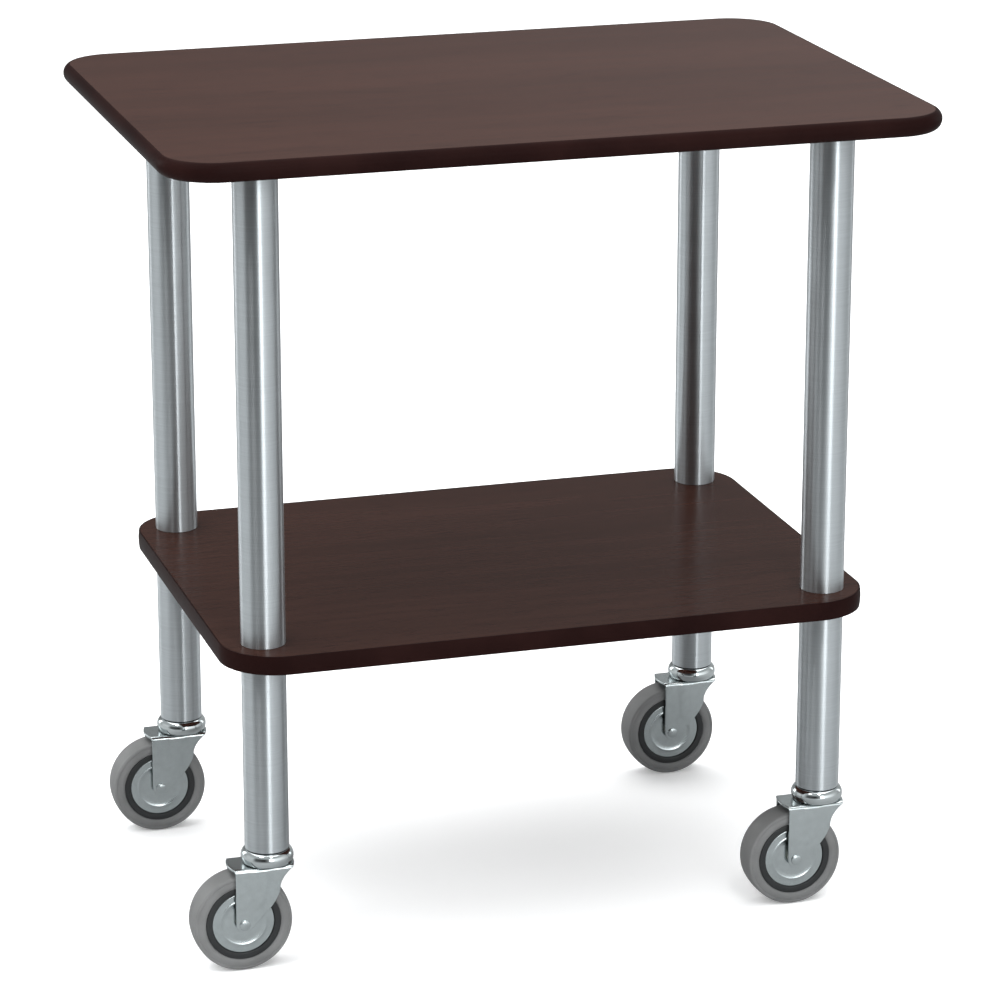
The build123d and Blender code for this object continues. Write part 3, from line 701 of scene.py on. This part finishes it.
for corner in corners:
    low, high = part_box(f"raceway_cap_{corner}")
    centre = ((low[0] + high[0]) / 2, (low[1] + high[1]) / 2, 0.0)
    foot, crown = low[2], high[2]
    turn = np.radians(np.linspace(90.0, 0.0, 14))
    widest = crown - bulge_drop
    dome_radius = cap_top_radius + cap_shoulder * np.cos(turn)
    dome = np.stack([dome_radius, widest + bulge_drop * np.sin(turn)], axis=-1)
    sink = np.linspace(0.0, 1.0, 8)[1:]
    flank_fall = (widest - foot - lip_round) * sink
    flank = np.stack([cap_radius - skirt_tuck * sink**2, widest - flank_fall], axis=-1)
    lip = lip_points + (0.0, foot)
    roof = foot + skirt_depth
    bow = np.radians(np.linspace(-20.0, 200.0, 12))
    track_height = np.maximum(foot + ball_rise + ball_room * np.sin(bow), roof)
    track = np.stack([ball_pitch + ball_room * np.cos(bow), track_height], axis=-1)
    hole = [(stem_hole, roof), (stem_hole, crown)]
    profile = np.concatenate([dome, flank, lip, [(skirt_inner, roof)], track, hole])
    piece = grid_piece(f"raceway_cap_{corner}_dome", [(turned(profile, centre, 96), True, True)], 50.0)
    piece.data.materials.append(cap_chrome)
    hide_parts(f"raceway_cap_{corner}")
    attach(piece, "table")

# The forks: 2.5 mm steel sheet, blanked, bent to a U and zinc plated. The top plate is bowed at
# the front and the back and carries a raised ball race; the legs are cut away in front of the
# axle and have a shallow pressed panel that stiffens them.
zinc_steel = metal_finish(
    "zinc_steel",
    (0.58, 0.622, 0.628),
    smooth=0.17,
    rough=0.25,
    draw=(1.0, 1.0, 1.0),
    scale=160.0,
    depth=0.03,
)
sheet_thick = 2.5 * mm
bend_outside = 3.6 * mm
leg_half_gap = 17.0 * mm
fork_rise = 59.0 * mm
tab_radius = 8.5 * mm
nose_reach = 50.0 * mm
trail = 28.5 * mm
rear_bow = 4.5 * mm
front_bow = 5.0 * mm
axle_height = 50.8 * mm
leg_points = np.array([(25.75, 14.51), (32.5, 23.48), (37.15, 34.99), (41.6, 47.79), (50.0, 56.5)]) * mm
tab_end = np.array((6.12, -5.89)) * mm
panel_corners = np.array([(8.0, 62.0), (8.0, 15.3), (15.0, 15.3), (23.0, 24.8), (30.2, 62.0)]) * mm
panel_slope = 2.6 * mm
panel_stand = 0.33 * mm
sheet_ease = 0.6 * mm
across_steps, round_steps = 26, 5
race_points = [
    (11.2, -1.2), (18.4, -1.2), (18.4, 2.5), (17.6, 2.5), (14.8, 0.4), (12.0, 2.5), (11.2, 2.5),
]
race_eases = [0.1, 0.1, 0.5, 0.3, 3.0, 0.3, 0.4]


def fork_front(height):
    """How far forward a leg reaches at a height over the axle: round the tab, straight up to the
    heel, then two parabolas through the shin, the knee, the flare and the nose."""
    ahead, rise = leg_points[:, 0], leg_points[:, 1]
    lower = np.polyfit(rise[:3], ahead[:3], 2)
    upper = np.polyfit(rise[2:], ahead[2:], 2)
    slope = (ahead[0] - tab_end[0]) / (rise[0] - tab_end[1])
    tab = np.sqrt(np.maximum(tab_radius**2 - height**2, 0.0))
    straight = tab_end[0] + slope * (height - tab_end[1])
    reach = np.where(height < tab_end[1], tab, straight)
    reach = np.where(height > rise[0], np.polyval(lower, height), reach)
    reach = np.where(height > rise[2], np.polyval(upper, height), reach)
    return np.minimum(reach, nose_reach)


def fork_rear(height):
    """How far back a leg reaches: round the tab below the axle, straight above it."""
    return -np.where(height < 0, np.sqrt(np.maximum(tab_radius**2 - height**2, 0.0)), tab_radius)


def panel_height(ahead, height):
    """The pressed panel: inside a five-sided outline the sheet stands out by a third of a millimetre.
    Its sloped rim is smoothstep of the distance to the nearest of the outline's sides. The top
    side lies above the bend, so the panel runs out there."""
    following = np.roll(panel_corners, -1, axis=0)
    along = following - panel_corners
    inward = np.stack([-along[:, 1], along[:, 0]], axis=-1) / np.linalg.norm(along, axis=1)[:, None]
    spot = np.stack([ahead, height], axis=-1)[..., None, :]
    inside_by = ((spot - panel_corners) * inward).sum(axis=-1).min(axis=-1)
    share = np.clip(inside_by / panel_slope, 0.0, 1.0)
    return panel_stand * share * share * (3 - 2 * share)


def fork_sheet(pivot_y, axle_x, axle_z):
    """A bent sheet: one parameter runs up the left leg, over the plate and down the right leg, the
    other runs once round the sheet's own narrow section, out along one face and back on the other."""
    middle_bend = bend_outside - sheet_thick / 2
    straight_top = fork_rise - bend_outside
    tab_turn = np.radians(np.linspace(0.0, 90.0, 12))
    rise = np.concatenate([-tab_radius * np.cos(tab_turn), np.linspace(0.0, straight_top, 44)[1:]])
    bend_turn = np.radians(np.linspace(0.0, 90.0, 11))[1:]
    flat_half = leg_half_gap + sheet_thick - bend_outside
    leg_y = np.full_like(rise, leg_half_gap + sheet_thick / 2)
    bend_y = flat_half + middle_bend * np.cos(bend_turn)
    bend_z = straight_top + middle_bend * np.sin(bend_turn)
    plate_y = np.linspace(flat_half, 0.0, 16)[1:]
    half_y = np.concatenate([leg_y, bend_y, plate_y])
    half_z = np.concatenate([rise, bend_z, np.full_like(plate_y, fork_rise - sheet_thick / 2)])
    half_ny = np.concatenate([np.ones_like(rise), np.cos(bend_turn), np.zeros_like(plate_y)])
    half_nz = np.concatenate([np.zeros_like(rise), np.sin(bend_turn), np.ones_like(plate_y)])
    y = np.concatenate([-half_y, half_y[::-1][1:]])
    z = np.concatenate([half_z, half_z[::-1][1:]])
    ny = np.concatenate([-half_ny, half_ny[::-1][1:]])
    nz = np.concatenate([half_nz, half_nz[::-1][1:]])
    bow_share = 1 - np.minimum(np.abs(y) / (leg_half_gap + sheet_thick), 1.0) ** 2
    rear = fork_rear(z) - np.where(z > straight_top, rear_bow * bow_share, 0.0)
    front = fork_front(z) + np.where(z > straight_top, front_bow * bow_share, 0.0)
    quarter = np.radians(np.linspace(0.0, 90.0, round_steps))
    half_sheet = sheet_thick / 2
    run = np.linspace(0.0, 1.0, across_steps)
    face_share = np.concatenate([run, np.ones(2 * round_steps), run[::-1], np.zeros(2 * round_steps)])
    end_in = -sheet_ease + sheet_ease * np.sin(quarter)
    end_out = half_sheet - sheet_ease + sheet_ease * np.cos(quarter)
    edge_slip = np.concatenate([end_in, end_in[::-1]])
    edge_rise = np.concatenate([end_out, -end_out[::-1]])
    face_out = np.linspace(1, -1, across_steps) * sheet_ease
    face_back = np.linspace(-1, 1, across_steps) * sheet_ease
    slip = np.concatenate([face_out, edge_slip, face_back, -edge_slip])
    flat_face = np.full(across_steps, half_sheet)
    lift = np.concatenate([flat_face, edge_rise, -flat_face, -edge_rise])
    width = np.maximum(front - rear, 0.0)[:, None]
    held = np.minimum(1.0, width / (2 * sheet_ease))
    ahead = rear[:, None] + width * face_share[None, :] + slip[None, :] * held
    upright_share = np.clip((1.0 - nz) ** 2, 0.0, 1.0)[:, None]
    stand = upright_share * panel_height(ahead, np.broadcast_to(z[:, None], ahead.shape))
    thick = lift[None, :] * np.ones_like(ahead) + stand
    sideways = pivot_y + y[:, None] + ny[:, None] * thick
    upward = axle_z + z[:, None] + nz[:, None] * thick
    return np.stack([axle_x + ahead, sideways, upward], axis=-1)


for corner in corners:
    cap_low, cap_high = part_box(f"raceway_cap_{corner}")
    pivot = ((cap_low[0] + cap_high[0]) / 2, (cap_low[1] + cap_high[1]) / 2)
    fork_top = axle_height + fork_rise
    ring = eased(np.array(race_points) * mm + (0.0, fork_top), np.array(race_eases) * mm, 6)
    piece = grid_piece(
        f"fork_{corner}_pressing",
        [
            (fork_sheet(pivot[1], pivot[0] - trail, axle_height), False, True),
            (turned(ring, (pivot[0], pivot[1], 0.0), 72), True, True),
        ],
        50.0,
    )
    piece.data.materials.append(zinc_steel)
    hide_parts(f"fork_{corner}")
    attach(piece, f"swivel_{corner}")

# The axles: plain steel pins put through fork and wheel and riveted over outside each leg
# to a low dome.
head_radius = 5.4 * mm
head_height = 2.0 * mm
dome_fall = 0.55 * mm
rim_round = 1.0 * mm
axle_radius = 4.0 * mm
head_taper = 0.1 * mm
for corner in corners:
    low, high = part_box(f"axle_{corner}")
    centre = ((low[0] + high[0]) / 2, (low[1] + high[1]) / 2, (low[2] + high[2]) / 2)
    crown = (high[1] - low[1]) / 2
    face = crown - head_height
    swell = np.linspace(0.0, 1.0, 9)
    dome = np.stack([(head_radius - rim_round) * swell, crown - dome_fall * swell**2], axis=-1)
    rim_turn = np.radians(np.linspace(20.0, 90.0, 6))
    rim_drop = crown - dome_fall - rim_round + rim_round * np.cos(rim_turn)
    rim_edge = np.stack([head_radius - rim_round + rim_round * np.sin(rim_turn), rim_drop], axis=-1)
    dome = np.concatenate([dome, rim_edge])
    half_profile = np.concatenate([dome, [(head_radius - head_taper, face), (axle_radius, face)]])
    profile = np.concatenate([half_profile, half_profile[::-1] * (1.0, -1.0)])
    piece = grid_piece(f"axle_{corner}_pin", [(turned(profile, centre, 48, "y"), True, False)], 50.0)
    piece.data.materials.append(zinc_steel)
    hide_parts(f"axle_{corner}")
    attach(piece, f"swivel_{corner}")

# The wheels: a grey rubber tyre with a crowned tread, held by a ridge on a dark moulded
# centre. A faint mould line runs round each shoulder. Zinc-plated discs are snapped into a
# rebate on both sides; each has a dished middle and a raised bead round it.
mid_grey, near_black = (0.147, 0.148, 0.148), (0.013, 0.014, 0.015)
tyre_rubber = moulded_finish("tyre_rubber", mid_grey, roughness=0.62, scale=1400.0, depth=0.25)
wheel_plastic = moulded_finish("wheel_plastic", near_black, roughness=0.42, scale=1100.0, depth=0.15)
wheel_radius = 50.8 * mm
tyre_half = 15.0 * mm
tread_crown = 0.7 * mm
shoulder_round = 2.4 * mm
shoulder_drop = 3.1 * mm
mould_line = [(46.9, 15.0), (46.7, 14.82), (46.5, 15.0)]
tyre_bead = [(42.4, 15.0), (41.2, 14.95), (39.6, 14.3), (38.6, 13.7), (38.35, 13.4)]
tyre_groove = [(38.35, 5.55), (40.35, 5.55)]
core_points = [
    # hub, web, then the rim with its rebate for the disc and its ridge for the tyre
    (6.05, 11.7), (12.0, 11.7), (12.0, 4.0), (30.4, 4.0), (30.4, 12.0),
    (32.05, 12.0), (32.05, 14.4), (38.3, 14.4), (38.3, 5.5), (40.3, 5.5),
]
core_eases = [0.1, 0.6, 0.8, 0.8, 0.2, 0.1, 0.5, 0.5, 0.2, 0.2]
disc_face = 13.2 * mm
disc_sheet = 1.0 * mm
dish_radius = 22.4 * mm
dish_slope = 4.0 * mm
dish_depth = 0.4 * mm
bead_radius = 23.5 * mm
bead_width = 1.3 * mm
bead_height = 0.40 * mm
turned_rim = [(31.4, 13.12), (31.75, 12.87), (31.95, 12.5), (32.0, 12.0), (31.0, 12.0), (31.0, 12.2)]
for corner in corners:
    cap_low, cap_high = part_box(f"raceway_cap_{corner}")
    centre = ((cap_low[0] + cap_high[0]) / 2 - trail, (cap_low[1] + cap_high[1]) / 2, wheel_radius)
    spread = np.radians(np.linspace(-1.0, 1.0, 15) * 90.0)
    tread_half = tyre_half - shoulder_round
    tread_radius = wheel_radius - tread_crown * np.sin(spread) ** 2
    tread = np.stack([tread_radius, np.sin(spread) * tread_half], axis=-1)
    shoulder_turn = np.radians(np.linspace(0.0, 90.0, 8))[1:]
    shoulder_radius = wheel_radius - shoulder_drop + shoulder_round * np.cos(shoulder_turn)
    shoulder = np.stack([shoulder_radius, tread_half + shoulder_round * np.sin(shoulder_turn)], axis=-1)
    side = np.concatenate([shoulder, np.array(mould_line + tyre_bead + tyre_groove) * mm])
    profile = np.concatenate([tread, side, side[::-1] * (1.0, -1.0)])
    tyre = grid_piece(f"tyre_{corner}_rubber", [(turned(profile, centre, 144, "y"), True, True)], 50.0)
    tyre.data.materials.append(tyre_rubber)
    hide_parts(f"tyre_{corner}")

    half_core = np.array(core_points) * mm
    outline = np.concatenate([half_core, half_core[::-1] * (1.0, -1.0)])
    ease = np.array(core_eases) * mm
    profile = eased(outline, np.concatenate([ease, ease[::-1]]), 4)
    turned_core = turned(profile, centre, 120, "y")
    core = grid_piece(f"wheel_core_{corner}_moulding", [(turned_core, True, True)], 50.0)
    core.data.materials.append(wheel_plastic)
    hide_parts(f"wheel_core_{corner}")

    radius = np.linspace(6.3, 31.0, 96) * mm
    dish = np.clip((dish_radius - radius) / dish_slope, 0.0, 1.0)
    bump = np.exp(-(((radius - bead_radius) / bead_width) ** 2))
    level = disc_face - dish_depth * dish * dish * (3 - 2 * dish) + bead_height * bump
    back = np.stack([radius[::-1][4:], level[::-1][4:] - disc_sheet], axis=-1)
    disc = np.concatenate([np.stack([radius, level], axis=-1), np.array(turned_rim) * mm, back])
    discs = grid_piece(
        f"wheel_discs_{corner}_pressings",
        [(turned(disc * (1.0, side), centre, 120, "y"), True, True) for side in (1.0, -1.0)],
        50.0,
    )
    discs.data.materials.append(zinc_steel)
    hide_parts(f"wheel_discs_{corner}")
    for piece in (tyre, core, discs):
        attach(piece, f"wheel_{corner}")
